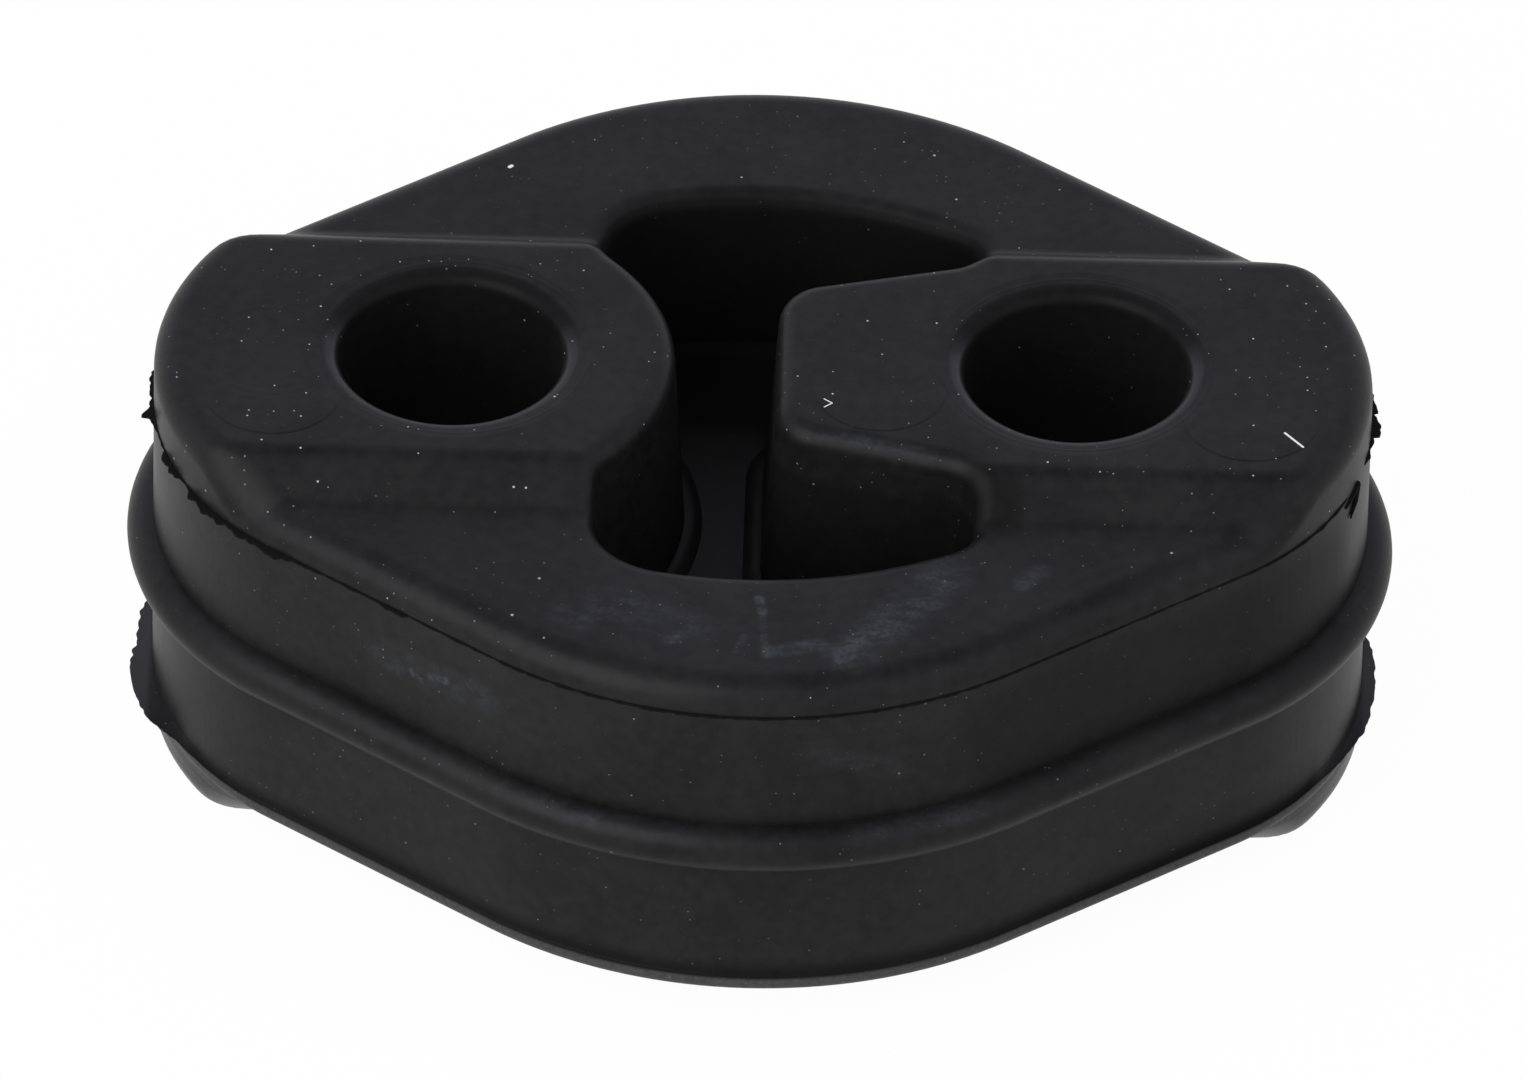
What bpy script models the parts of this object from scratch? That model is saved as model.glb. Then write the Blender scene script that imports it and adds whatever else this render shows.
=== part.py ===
"""Exhaust hanger: one moulded rubber block with two bores for the hanger rods.

The block lies flat. +X runs along its length through both bores, +Z is up, and the
origin is on the lower boss faces, midway between the bores. The upper and lower halves
are mirror images, so the upper half is built and mirrored in the middle plane.

A half is a single skin made of closed loops. Each loop follows an outline of the block
(outer wall, central opening or bore) at a given offset and height, and neighbouring
loops are joined face by face. The top surface is a triangulated plan lifted to the
height of the surface.
"""
import math

import bmesh
import bpy
from mathutils import Vector
from mathutils.geometry import delaunay_2d_cdt

MM = 0.001

# Bores for the hanger rods, each with a rounded lip in a shallow seat
BORE_SPACING = 32.0 * MM
BORE_RADIUS = 5.75 * MM
BORE_LIP_RADIUS = 0.8 * MM
SEAT_WIDTH = 0.85 * MM
SEAT_DEPTH = 0.25 * MM
SEAT_RADIUS = BORE_RADIUS + BORE_LIP_RADIUS + SEAT_WIDTH

# Heights above the middle plane
RING_HEIGHT = 10.15 * MM
BOSS_RISE = 1.85 * MM
BOSS_HEIGHT = RING_HEIGHT + BOSS_RISE

# Plan of the outer wall: broad front and back arcs, tighter end arcs, tangent flanks
END_REACH = 15.2 * MM
HALF_LENGTH = BORE_SPACING / 2 + END_REACH
HALF_DEPTH = 24.8 * MM
FRONT_ARC_RADIUS = 22.9 * MM
END_ARC_RADIUS = 15.1 * MM
RING_SHOULDER_RADIUS = 1.7 * MM
BOSS_SHOULDER_RADIUS = 1.5 * MM
RIB_RADIUS = 1.37 * MM

# Profile across the bosses: flat top, rounded crest, hollow foot that meets the ring
BOSS_FLAT_MARGIN = 0.95 * MM
BOSS_FLAT_HALF = BORE_RADIUS + BOSS_FLAT_MARGIN
CREST_RADIUS = 4.2 * MM
FOOT_RADIUS = 3.8 * MM

# Thin web that closes the opening at mid height, with a half-round bead at its edge
WEB_HALF_THICKNESS = 0.6 * MM
BEAD_RISE = 0.5 * MM
BEAD_RADIUS = WEB_HALF_THICKNESS + BEAD_RISE
OPENING_DRAFT = 0.6 * MM
WEB_INSET = OPENING_DRAFT + BEAD_RADIUS

# Round lobe on the left and blunt nose on the right, which face each other in the opening.
# Tight inner corners keep a small radius where the bead ends on the web.
WEB_CORNER_RADIUS = 0.3 * MM
LOBE_WALL = 5.75 * MM
LOBE_RADIUS = BORE_RADIUS + LOBE_WALL
LOBE_HALF_ANGLE = math.radians(42.0)
LOBE_APEX = -BORE_SPACING / 2 + LOBE_RADIUS / math.cos(LOBE_HALF_ANGLE)
LOBE_ROOT_RADIUS = WEB_INSET + WEB_CORNER_RADIUS
GAP_WIDTH = 5.2 * MM
NOSE_TIP = -BORE_SPACING / 2 + LOBE_RADIUS + GAP_WIDTH
NOSE_TIP_HALF = 5.85 * MM
NOSE_WALL = 2.75 * MM
NOSE_ROOT_HALF = BORE_RADIUS + NOSE_WALL
NOSE_TIP_RADIUS = 2.6 * MM
NOSE_ROOT_RADIUS = WEB_INSET + WEB_CORNER_RADIUS

# Plan of the central opening, measured at the ring surface: a pocket in front of and
# behind the gap, each deeper on the lobe's side
LOBE_SETBACK = 7.6 * MM
NOSE_SETBACK = 5.0 * MM
OPENING_LEFT = -BORE_SPACING / 2 + LOBE_SETBACK
OPENING_RIGHT = BORE_SPACING / 2 - NOSE_SETBACK
LOBE_ROOT_HALF = (LOBE_APEX - OPENING_LEFT) / math.tan(LOBE_HALF_ANGLE)
LOBE_POCKET_DEPTH = 5.354 * MM
NOSE_POCKET_DEPTH = 3.6 * MM
CROWN_RISE = 2.0 * MM
OPENING_LEFT_REACH = LOBE_ROOT_HALF + LOBE_POCKET_DEPTH
OPENING_RIGHT_REACH = NOSE_ROOT_HALF + NOSE_POCKET_DEPTH
OPENING_CROWN_X = 2.4 * MM
OPENING_CROWN_REACH = OPENING_LEFT_REACH + CROWN_RISE
OPENING_LEFT_CORNER = 4.2 * MM
OPENING_CROWN_RADIUS = 22.0 * MM
POCKET_CORNER_RADIUS = 0.5 * MM
OPENING_RIGHT_CORNER = WEB_INSET + POCKET_CORNER_RADIUS
OPENING_EDGE_RADIUS = 1.1 * MM

# Facets
ARC_STEP = math.radians(7.5)
MIN_ARC_FACETS = 3
STRAIGHT_STEP = 2.0 * MM
FILLET_FACETS = 3
BORE_FACETS = 32
SKIN_SPACING = 2.4 * MM
SLOPE_SPACING = 0.9 * MM
SKIN_MARGIN = 0.45 * MM

# Distances below which points are one
PLAN_TOLERANCE = 0.001 * MM
MIRROR_MERGE = 0.01 * MM

SHARP_ANGLE = math.radians(40.0)
RUBBER_COLOUR = (0.022, 0.022, 0.024, 1.0)
RUBBER_ROUGHNESS = 0.55


def clear_scene():
    for item in list(bpy.data.objects):
        bpy.data.objects.remove(item, do_unlink=True)


def rubber_material():
    """Matt black moulded rubber."""
    material = bpy.data.materials.new("black_rubber")
    material.use_nodes = True
    shader = material.node_tree.nodes["Principled BSDF"]
    shader.inputs["Base Color"].default_value = RUBBER_COLOUR
    shader.inputs["Roughness"].default_value = RUBBER_ROUGHNESS
    shader.inputs["Metallic"].default_value = 0.0
    return material


def surface_height(y):
    """Height of the top surface above the middle plane, at a distance y from the bore line."""
    radii = CREST_RADIUS + FOOT_RADIUS
    steepest = math.acos(1.0 - BOSS_RISE / radii)
    crest_end = BOSS_FLAT_HALF + CREST_RADIUS * math.sin(steepest)
    foot_end = crest_end + FOOT_RADIUS * math.sin(steepest)
    across = abs(y)
    if across <= BOSS_FLAT_HALF:
        return BOSS_HEIGHT
    if across <= crest_end:
        past_flat = across - BOSS_FLAT_HALF
        return BOSS_HEIGHT - CREST_RADIUS + math.sqrt(CREST_RADIUS**2 - past_flat**2)
    if across < foot_end:
        return RING_HEIGHT + FOOT_RADIUS - math.sqrt(FOOT_RADIUS**2 - (foot_end - across)**2)
    return RING_HEIGHT


def shoulder_radius(y):
    """Radius of the outer shoulder, which changes from the bosses to the ring."""
    share = (surface_height(y) - RING_HEIGHT) / BOSS_RISE
    return RING_SHOULDER_RADIUS + share * (BOSS_SHOULDER_RADIUS - RING_SHOULDER_RADIUS)


class Corner:
    """Corner of a plan polygon with the rubber on its left, and the arc that rounds it."""

    def __init__(self, place, before, after, radius):
        self.place = place
        self.arriving = (place - before).normalized()
        leaving = (after - place).normalized()
        self.turn = math.atan2(self.arriving.cross(leaving), self.arriving.dot(leaving))
        self.radius = radius

    def tangent(self):
        """Length that the arc takes from each side of the corner."""
        return self.radius * math.tan(abs(self.turn) / 2)

    def arc(self):
        """Points along the arc, each with the unit normal that points out of the rubber."""
        bulge = math.copysign(self.radius, self.turn)
        start = self.place - self.arriving * self.tangent()
        centre = start + Vector((-self.arriving.y, self.arriving.x)) * bulge
        heading = math.atan2(self.arriving.y, self.arriving.x)
        facets = max(MIN_ARC_FACETS, math.ceil(abs(self.turn) / ARC_STEP))
        samples = []
        for step in range(facets + 1):
            angle = heading + self.turn * step / facets - math.pi / 2
            normal = Vector((math.cos(angle), math.sin(angle)))
            samples.append((centre + normal * bulge, normal))
        return samples


def fit_arcs(corners):
    """Limit arcs that would overlap on the side they share. The longer one gives way first."""
    for index, corner in enumerate(corners):
        before = corners[index - 1]
        room = (corner.place - before.place).length
        for limited, other in ((corner, before), (before, corner)):
            limit = max(room / 2, room - other.tangent())
            limited.radius *= min(1.0, limit / limited.tangent())


def rounded_outline(rows):
    """Closed outline of points and outward normals, from polygon corners (x, y, radius)."""
    places = [Vector((x, y)) for x, y, _ in rows]
    corners = []
    for index, (place, row) in enumerate(zip(places, rows)):
        after = places[(index + 1) % len(places)]
        corners.append(Corner(place, places[index - 1], after, row[2]))
    fit_arcs(corners)
    outline = []
    for index, corner in enumerate(corners):
        outline += corner.arc()
        point, normal = outline[-1]
        following = corners[(index + 1) % len(corners)].arc()[0][0]
        straight = (following - point).length
        if straight < PLAN_TOLERANCE:
            outline.pop()
            continue
        pieces = math.ceil(straight / STRAIGHT_STEP)
        outline += [(point.lerp(following, piece / pieces), normal) for piece in range(1, pieces)]
    return outline


def moved(outline, offset):
    """Points of an outline moved out of the rubber by offset, or into it where that is negative."""
    return [point + normal * offset for point, normal in outline]


def outer_outline():
    """Wall of the block: front and back arcs and end arcs joined by their common tangents."""
    front_centre = HALF_DEPTH - FRONT_ARC_RADIUS
    end_centre = HALF_LENGTH - END_ARC_RADIUS
    spread = math.hypot(end_centre, front_centre)
    slope = math.acos((FRONT_ARC_RADIUS - END_ARC_RADIUS) / spread)
    slope -= math.atan2(front_centre, end_centre)
    end_corner = end_centre + END_ARC_RADIUS / math.cos(slope)
    side_corner = front_centre + FRONT_ARC_RADIUS / math.sin(slope)
    return rounded_outline([
        (end_corner, 0.0, END_ARC_RADIUS),
        (0.0, side_corner, FRONT_ARC_RADIUS),
        (-end_corner, 0.0, END_ARC_RADIUS),
        (0.0, -side_corner, FRONT_ARC_RADIUS),
    ])


def opening_outline():
    """Central opening, walked clockwise, between the round lobe and the blunt nose."""
    back = [
        (LOBE_APEX, 0.0, LOBE_RADIUS),
        (OPENING_LEFT, LOBE_ROOT_HALF, LOBE_ROOT_RADIUS),
        (OPENING_LEFT, OPENING_LEFT_REACH, OPENING_LEFT_CORNER),
        (OPENING_CROWN_X, OPENING_CROWN_REACH, OPENING_CROWN_RADIUS),
        (OPENING_RIGHT, OPENING_RIGHT_REACH, OPENING_RIGHT_CORNER),
        (OPENING_RIGHT, NOSE_ROOT_HALF, NOSE_ROOT_RADIUS),
        (NOSE_TIP, NOSE_TIP_HALF, NOSE_TIP_RADIUS),
    ]
    front = [(x, -y, radius) for x, y, radius in reversed(back[1:])]
    return rounded_outline(back + front)


def bore_outline(x):
    """Circle of a bore, walked clockwise."""
    outline = []
    for step in range(BORE_FACETS):
        angle = -2 * math.pi * step / BORE_FACETS
        normal = Vector((-math.cos(angle), -math.sin(angle)))
        outline.append((Vector((x, 0.0)) - normal * BORE_RADIUS, normal))
    return outline


def quarter_round():
    """Shares of the radius by which a rounded edge lies inside its wall and below its top."""
    steps = []
    for step in range(FILLET_FACETS + 1):
        angle = math.pi / 2 * step / FILLET_FACETS
        steps.append((1 - math.cos(angle), 1 - math.sin(angle)))
    return steps


def level_loop(bm, points, height):
    """Loop of vertices at one height above the middle plane."""
    return [bm.verts.new((point.x, point.y, height)) for point in points]


def edge_loops(bm, outline, radius_at):
    """Loops of a rounded edge that follows the top surface. The radius depends on the wall's y."""
    loops = []
    for inset, drop in quarter_round():
        loop = []
        for point, normal in outline:
            radius = radius_at(point.y)
            place = point - normal * radius * inset
            loop.append(bm.verts.new((place.x, place.y, surface_height(place.y) - radius * drop)))
        loops.append(loop)
    return loops


def join_loops(bm, lower, upper):
    count = len(lower)
    for index in range(count):
        following = (index + 1) % count
        bm.faces.new((lower[index], lower[following], upper[following], upper[index]))


def join_stack(bm, loops):
    for lower, upper in zip(loops, loops[1:]):
        join_loops(bm, lower, upper)


def outer_wall(bm, outline):
    """Half of the rib at mid height, the wall and the rounded shoulder. Returns its top loop."""
    loops = []
    for step in range(FILLET_FACETS + 1):
        angle = math.pi / 2 * step / FILLET_FACETS
        rib = moved(outline, RIB_RADIUS * math.cos(angle))
        loops.append(level_loop(bm, rib, RIB_RADIUS * math.sin(angle)))
    loops += edge_loops(bm, outline, shoulder_radius)
    join_stack(bm, loops)
    return loops[-1]


def opening_wall(bm, outline):
    """Web, bead, drafted wall and rounded edge of the opening. Returns its top loop."""
    lift = math.asin(WEB_HALF_THICKNESS / BEAD_RADIUS)
    loops = []
    for step in range(FILLET_FACETS + 1):
        angle = lift + (math.pi / 2 - lift) * step / FILLET_FACETS
        bead = moved(outline, OPENING_DRAFT + BEAD_RADIUS * math.cos(angle))
        loops.append(level_loop(bm, bead, BEAD_RADIUS * math.sin(angle)))
    loops += edge_loops(bm, outline, lambda y: OPENING_EDGE_RADIUS)
    join_stack(bm, loops)
    web = bm.faces.new(loops[0])
    bmesh.ops.triangulate(bm, faces=[web])
    return loops[-1]


def bore_wall(bm, outline):
    """Bore, rounded lip and shallow seat around its mouth. Returns its top loop."""
    loops = [level_loop(bm, moved(outline, 0.0), 0.0)]
    for inset, drop in quarter_round():
        height = BOSS_HEIGHT - SEAT_DEPTH - BORE_LIP_RADIUS * drop
        loops.append(level_loop(bm, moved(outline, -BORE_LIP_RADIUS * inset), height))
    seat = moved(outline, BORE_RADIUS - SEAT_RADIUS)
    loops.append([bm.verts.new((point.x, point.y, surface_height(point.y))) for point in seat])
    join_stack(bm, loops)
    return loops[-1]


def crossings(loop, y):
    """Places where a closed plan loop crosses the line at y, from left to right."""
    found = []
    for index, start in enumerate(loop):
        end = loop[(index + 1) % len(loop)]
        if (start.y > y) != (end.y > y):
            found.append(start.x + (y - start.y) / (end.y - start.y) * (end.x - start.x))
    return sorted(found)


def clearance(loops, point):
    """Distance from a plan point to the nearest loop."""
    nearest = math.inf
    for loop in loops:
        for index, start in enumerate(loop):
            end = loop[(index + 1) % len(loop)]
            along = end - start
            share = max(0.0, min(1.0, (point - start).dot(along) / along.length_squared))
            nearest = min(nearest, (point - start - along * share).length)
    return nearest


def inside(loops, point):
    """True where a plan point lies on the rubber between the loops."""
    return sum(x < point.x for loop in loops for x in crossings(loop, point.y)) % 2 == 1


def skin_rows(reach):
    """Distances from the bore line at which the top surface gets points, closer on the slopes."""
    slope_end = BOSS_FLAT_HALF + CREST_RADIUS + FOOT_RADIUS
    rows = [0.0]
    while rows[-1] < reach:
        on_slope = BOSS_FLAT_HALF - SLOPE_SPACING < rows[-1] < slope_end
        rows.append(rows[-1] + (SLOPE_SPACING if on_slope else SKIN_SPACING))
    return [-row for row in rows[:0:-1]] + rows


def skin_points(loops):
    """Points of the top surface in rows along x, and the edges that keep each row together."""
    points = []
    edges = []
    columns = math.ceil(HALF_LENGTH / SKIN_SPACING)
    for row, y in enumerate(skin_rows(HALF_DEPTH)):
        shift = SKIN_SPACING / 2 * (row % 2)
        walls = [x for loop in loops for x in crossings(loop, y)]
        previous = None
        for step in range(-columns, columns + 1):
            point = Vector((step * SKIN_SPACING + shift, y))
            if not inside(loops, point) or clearance(loops, point) < SKIN_MARGIN:
                continue
            points.append(point)
            if previous is not None and not any(previous < x < point.x for x in walls):
                edges.append((len(points) - 2, len(points) - 1))
            previous = point.x
    return points, edges


def sides(triangle):
    return zip(triangle, triangle[1:] + triangle[:1])


def rubber_triangles(triangles, rim_edges):
    """Triangles on the left of the rims, found from neighbour to neighbour up to the rims."""
    owners = {side: triangle for triangle in triangles for side in sides(triangle)}
    found = {owners[edge] for edge in rim_edges}
    waiting = list(found)
    while waiting:
        for start, end in sides(waiting.pop()):
            neighbour = owners.get((end, start))
            if (start, end) not in rim_edges and neighbour not in found:
                found.add(neighbour)
                waiting.append(neighbour)
    return found


def top_skin(bm, rims):
    """Triangulate the plan between the rims and lift the new points to the top surface."""
    loops = [[vertex.co.xy for vertex in rim] for rim in rims]
    anchors = [vertex for rim in rims for vertex in rim]
    rim_edges = set()
    start = 0
    for loop in loops:
        count = len(loop)
        rim_edges.update((start + index, start + (index + 1) % count) for index in range(count))
        start += count
    free_points, row_edges = skin_points(loops)
    points = [point for loop in loops for point in loop] + free_points
    edges = sorted(rim_edges) + [(start + first, start + second) for first, second in row_edges]
    plan, _, faces, sources, _, _ = delaunay_2d_cdt(points, edges, [], 0, PLAN_TOLERANCE)
    vertices = dict(enumerate(anchors))
    for point, origin in zip(plan, sources):
        if origin[0] not in vertices:
            vertices[origin[0]] = bm.verts.new((point.x, point.y, surface_height(point.y)))
    triangles = [tuple(sources[index][0] for index in face) for face in faces]
    for triangle in sorted(rubber_triangles(triangles, rim_edges)):
        bm.faces.new([vertices[index] for index in triangle])


def half_block():
    """Mesh of the upper half, open only along the middle plane."""
    bm = bmesh.new()
    rims = [outer_wall(bm, outer_outline()), opening_wall(bm, opening_outline())]
    for x in (-BORE_SPACING / 2, BORE_SPACING / 2):
        rims.append(bore_wall(bm, bore_outline(x)))
    top_skin(bm, rims)
    bmesh.ops.recalc_face_normals(bm, faces=bm.faces)
    mesh = bpy.data.meshes.new("hanger_body")
    bm.to_mesh(mesh)
    bm.free()
    return mesh


def hanger_body():
    """The whole rubber block, standing on its lower boss faces."""
    mesh = half_block()
    body = bpy.data.objects.new("hanger_body", mesh)
    bpy.context.collection.objects.link(body)
    body.location.z = BOSS_HEIGHT
    mesh.materials.append(rubber_material())
    mesh.shade_smooth()
    mesh.set_sharp_from_angle(angle=SHARP_ANGLE)
    mirror = body.modifiers.new("lower_half", "MIRROR")
    mirror.use_axis = (False, False, True)
    mirror.use_clip = False
    mirror.merge_threshold = MIRROR_MERGE
    return body


clear_scene()
hanger_body()
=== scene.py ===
# %% [markdown]
# # Exhaust hanger
# A car's exhaust hangs from blocks of rubber like this one. One steel rod of the body and one
# of the exhaust go through the two bores, and the rubber between them stretches and swings.
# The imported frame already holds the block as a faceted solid. This script gives it a fine
# surface, the torn flash that the mould leaves, a rubber finish, and a plain studio.

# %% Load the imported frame
import math

import bmesh
import bpy
from mathutils import Matrix, Vector, noise


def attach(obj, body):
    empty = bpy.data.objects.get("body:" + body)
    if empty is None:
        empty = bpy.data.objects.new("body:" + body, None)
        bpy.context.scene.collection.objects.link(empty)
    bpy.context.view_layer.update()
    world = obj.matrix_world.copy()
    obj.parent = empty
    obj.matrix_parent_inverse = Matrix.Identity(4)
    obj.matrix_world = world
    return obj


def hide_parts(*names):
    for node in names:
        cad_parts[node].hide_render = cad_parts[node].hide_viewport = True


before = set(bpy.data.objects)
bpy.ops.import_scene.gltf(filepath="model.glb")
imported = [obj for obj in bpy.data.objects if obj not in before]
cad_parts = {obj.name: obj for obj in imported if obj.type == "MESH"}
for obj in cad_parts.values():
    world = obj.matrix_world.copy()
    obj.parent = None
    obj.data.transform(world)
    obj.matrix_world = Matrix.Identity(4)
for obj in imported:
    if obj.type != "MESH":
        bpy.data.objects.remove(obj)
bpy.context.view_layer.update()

MM = 0.001

# %% [markdown]
# ## Camera
# The photograph was taken from far away with a long lens, so edges that are parallel on the
# block stay nearly parallel in the picture. A long lens at more than a metre does the same,
# where a short lens close by would make the front look too big. The angle and distance were
# fitted to the block's outline and bores.

# %% Camera
camera = bpy.data.objects.new("camera", bpy.data.cameras.new("camera"))
camera.location = (0.0100862, -1.1328680, 0.9410923)
camera.rotation_euler = (math.radians(50.62987), math.radians(-1.00346), math.radians(1.32990))
camera.data.lens = 674.009
camera.data.sensor_width = 36.0
bpy.context.scene.collection.objects.link(camera)
bpy.context.scene.camera = camera

# %% [markdown]
# ## Sizes
# The sizes are those of the solid, in metres, with four small differences. The rib and the
# bores' lips are a few hundredths of a millimetre smaller, the seats round the bores are
# shallower, and the sides of the bosses are crisper. Heights are measured from the middle
# plane, because the upper and lower halves are mirror images.

# %% Sizes of the block
BOSS_HEIGHT = 12.0 * MM
RING_HEIGHT = 10.15 * MM
BORE_X = 16.0 * MM
BORE_RADIUS = 5.75 * MM
LIP_RADIUS = 0.75 * MM
SEAT_RADIUS = 7.4 * MM
SEAT_DEPTH = 0.14 * MM
SEAT_MARGIN = 0.2 * MM
HALF_LENGTH = 31.2 * MM
HALF_DEPTH = 24.8 * MM
FRONT_RADIUS = 22.9 * MM
END_RADIUS = 15.1 * MM
RING_SHOULDER = 1.7 * MM
BOSS_SHOULDER = 1.5 * MM
RIB_RADIUS = 1.335 * MM
CREST_START = 8.14 * MM
SLOPE_RADIUS = 1.5 * MM
SLOPE_ANGLE = math.radians(37.5)
EDGE_RADIUS = 1.1 * MM
DRAFT = 0.6 * MM
WEB_HALF = 0.6 * MM
BEAD_RADIUS = 1.1 * MM

# %% [markdown]
# ## Outlines
# Seen from above, every wall of the block follows arcs joined by straight lines. One vertex
# spun about an arc's centre draws the arc, and an edge joins it to the next. Each vertex
# remembers the wall it stands on and the direction out of the rubber in layers of the mesh.
# Extruding and cutting copy those layers, so any later ring can be moved off the wall by
# an exact distance.

# %% A mesh that remembers its walls
class WallMesh:
    """A bmesh whose vertices keep their place on a wall, the way out of the rubber, and the wall."""

    def __init__(self):
        self.bm = bmesh.new()
        self.home = self.bm.verts.layers.float_vector.new("home")
        self.out = self.bm.verts.layers.float_vector.new("out")
        self.wall = self.bm.verts.layers.float.new("wall")

    def settle(self, verts, wall, centre, away):
        """Note where new vertices of an arc stand. away is 1 where the arc bulges out of the rubber."""
        for vert in verts:
            vert[self.home] = vert.co
            vert[self.out] = (vert.co - centre).normalized() * away
            vert[self.wall] = wall

    def arc(self, wall, start, centre, turn, facets):
        """Spin one vertex about centre. Returns the first and the last vertex of the arc."""
        known = set(self.bm.verts)
        first = bmesh.ops.create_vert(self.bm, co=start)["vert"][0]
        spun = bmesh.ops.spin(
            self.bm, geom=[first], cent=centre, axis=(0, 0, 1), angle=turn, steps=facets, use_duplicate=False
        )
        drawn = [vert for vert in self.bm.verts if vert not in known]
        self.settle(drawn, wall, centre, math.copysign(1, turn))
        return first, [item for item in spun["geom_last"] if isinstance(item, bmesh.types.BMVert)][0]

    def place(self, vert, offset, height):
        """Move a vertex to an offset from its wall, at a height above the middle plane."""
        vert.co = vert[self.home] + vert[self.out] * offset
        vert.co.z = height


# %% An outline from its corners
ARC_STEP = math.radians(2.0)
LEAST_FACETS = 6
STRAIGHT_STEP = 0.6 * MM


def outline(mesh, wall, corners):
    """Draw a closed outline from corners (x, y, radius in metres), with the rubber on its left."""
    ends = []
    for index, (x, y, radius) in enumerate(corners):
        corner = Vector((x, y, 0.0))
        before = Vector((*corners[index - 1][:2], 0.0))
        after = Vector((*corners[(index + 1) % len(corners)][:2], 0.0))
        arriving = (corner - before).normalized()
        leaving = (after - corner).normalized()
        turn = math.atan2(arriving.cross(leaving).z, arriving.dot(leaving))
        start = corner - arriving * radius * math.tan(abs(turn) / 2)
        centre = start + Vector((-arriving.y, arriving.x, 0.0)) * math.copysign(radius, turn)
        facets = max(LEAST_FACETS, math.ceil(abs(turn) / ARC_STEP))
        ends.append(mesh.arc(wall, start, centre, turn, facets))
    starts = [first for first, _ in ends]
    straights = [
        mesh.bm.edges.new((last, first)) for (_, last), first in zip(ends, starts[1:] + starts[:1])
    ]
    for edge in straights:
        cuts = math.floor(edge.calc_length() / STRAIGHT_STEP)
        if cuts:
            bmesh.ops.bisect_edges(mesh.bm, edges=[edge], cuts=cuts)


# %% Corners of the outer wall
def outer_corners():
    """Corners of the polygon whose rounded form is the block's outer wall."""
    front_centre = HALF_DEPTH - FRONT_RADIUS
    end_centre = HALF_LENGTH - END_RADIUS
    spread = math.hypot(end_centre, front_centre)
    slope = math.acos((FRONT_RADIUS - END_RADIUS) / spread) - math.atan2(front_centre, end_centre)
    end = end_centre + END_RADIUS / math.cos(slope)
    side = front_centre + FRONT_RADIUS / math.sin(slope)
    return [
        (end, 0.0, END_RADIUS),
        (0.0, side, FRONT_RADIUS),
        (-end, 0.0, END_RADIUS),
        (0.0, -side, FRONT_RADIUS),
    ]


# %% Corners of the opening
LOBE_RADIUS = 11.5 * MM
LOBE_HALF_ANGLE = math.radians(42.0)
LOBE_APEX = -BORE_X + LOBE_RADIUS / math.cos(LOBE_HALF_ANGLE)
OPENING_LEFT = -8.4 * MM
OPENING_RIGHT = 11.0 * MM
LOBE_ROOT = (LOBE_APEX - OPENING_LEFT) / math.tan(LOBE_HALF_ANGLE)


def opening_corners():
    """Corners of the opening between the round lobe on the left and the blunt nose on the right."""
    back = [
        (LOBE_APEX, 0.0, LOBE_RADIUS),
        (OPENING_LEFT, LOBE_ROOT, 2.0 * MM),
        (OPENING_LEFT, 14.1 * MM, 4.2 * MM),
        (2.4 * MM, 16.1 * MM, 22.0 * MM),
        (OPENING_RIGHT, 12.1 * MM, 2.2 * MM),
        (OPENING_RIGHT, 8.5 * MM, 2.0 * MM),
        (0.7 * MM, 5.85 * MM, 2.6 * MM),
    ]
    return back + [(x, -y, radius) for x, y, radius in reversed(back[1:])]


# %% [markdown]
# ## Height of the top
# The middle band, which carries the bores, stands higher than the ring. Its sides run down in
# a soft S: a rounded crest, a straight slope and a hollow foot. Two equal arcs with a
# straight line between them give it. The slope is a little flatter than the camera's view,
# so the far side of the band shows as one thin bright line.

# %% Height of the top
CREST_WIDTH = SLOPE_RADIUS * math.sin(SLOPE_ANGLE)
CREST_DROP = SLOPE_RADIUS * (1.0 - math.cos(SLOPE_ANGLE))
SLOPE_WIDTH = (BOSS_HEIGHT - RING_HEIGHT - 2 * CREST_DROP) / math.tan(SLOPE_ANGLE)
FOOT_END = CREST_START + 2 * CREST_WIDTH + SLOPE_WIDTH


def top_height(y):
    """Height of the top surface above the middle plane at a distance y from the bores' line."""
    past_crest = abs(y) - CREST_START
    before_foot = FOOT_END - abs(y)
    if past_crest <= 0.0:
        return BOSS_HEIGHT
    if before_foot <= 0.0:
        return RING_HEIGHT
    if past_crest <= CREST_WIDTH:
        return BOSS_HEIGHT - SLOPE_RADIUS + math.sqrt(SLOPE_RADIUS**2 - past_crest**2)
    if before_foot <= CREST_WIDTH:
        return RING_HEIGHT + SLOPE_RADIUS - math.sqrt(SLOPE_RADIUS**2 - before_foot**2)
    return BOSS_HEIGHT - CREST_DROP - (past_crest - CREST_WIDTH) * math.tan(SLOPE_ANGLE)


def shoulder_radius(y):
    """Radius of the outer shoulder, which changes a little from the ring to the bosses."""
    share = (top_height(y) - RING_HEIGHT) / (BOSS_HEIGHT - RING_HEIGHT)
    return RING_SHOULDER + share * (BOSS_SHOULDER - RING_SHOULDER)


print("the sides of the bosses end", round(FOOT_END / MM, 2), "mm from the bores' line")

# %% [markdown]
# ## Top surface
# The top is one flat face with three kinds of hole, so it is filled between the outlines in
# one go. Planes then cut it into rows, close together on the sloping sides, and every vertex
# is lifted to its height. Working from the top down keeps each wall's rings in line with
# the vertices that the rows add to the rims.

# %% Top surface
OUTER, OPENING, BORE = 1.0, 2.0, 3.0
BORE_FACETS = 96
SLOPE_ROW = 0.15 * MM
FLAT_ROW = 2.0 * MM


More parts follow.
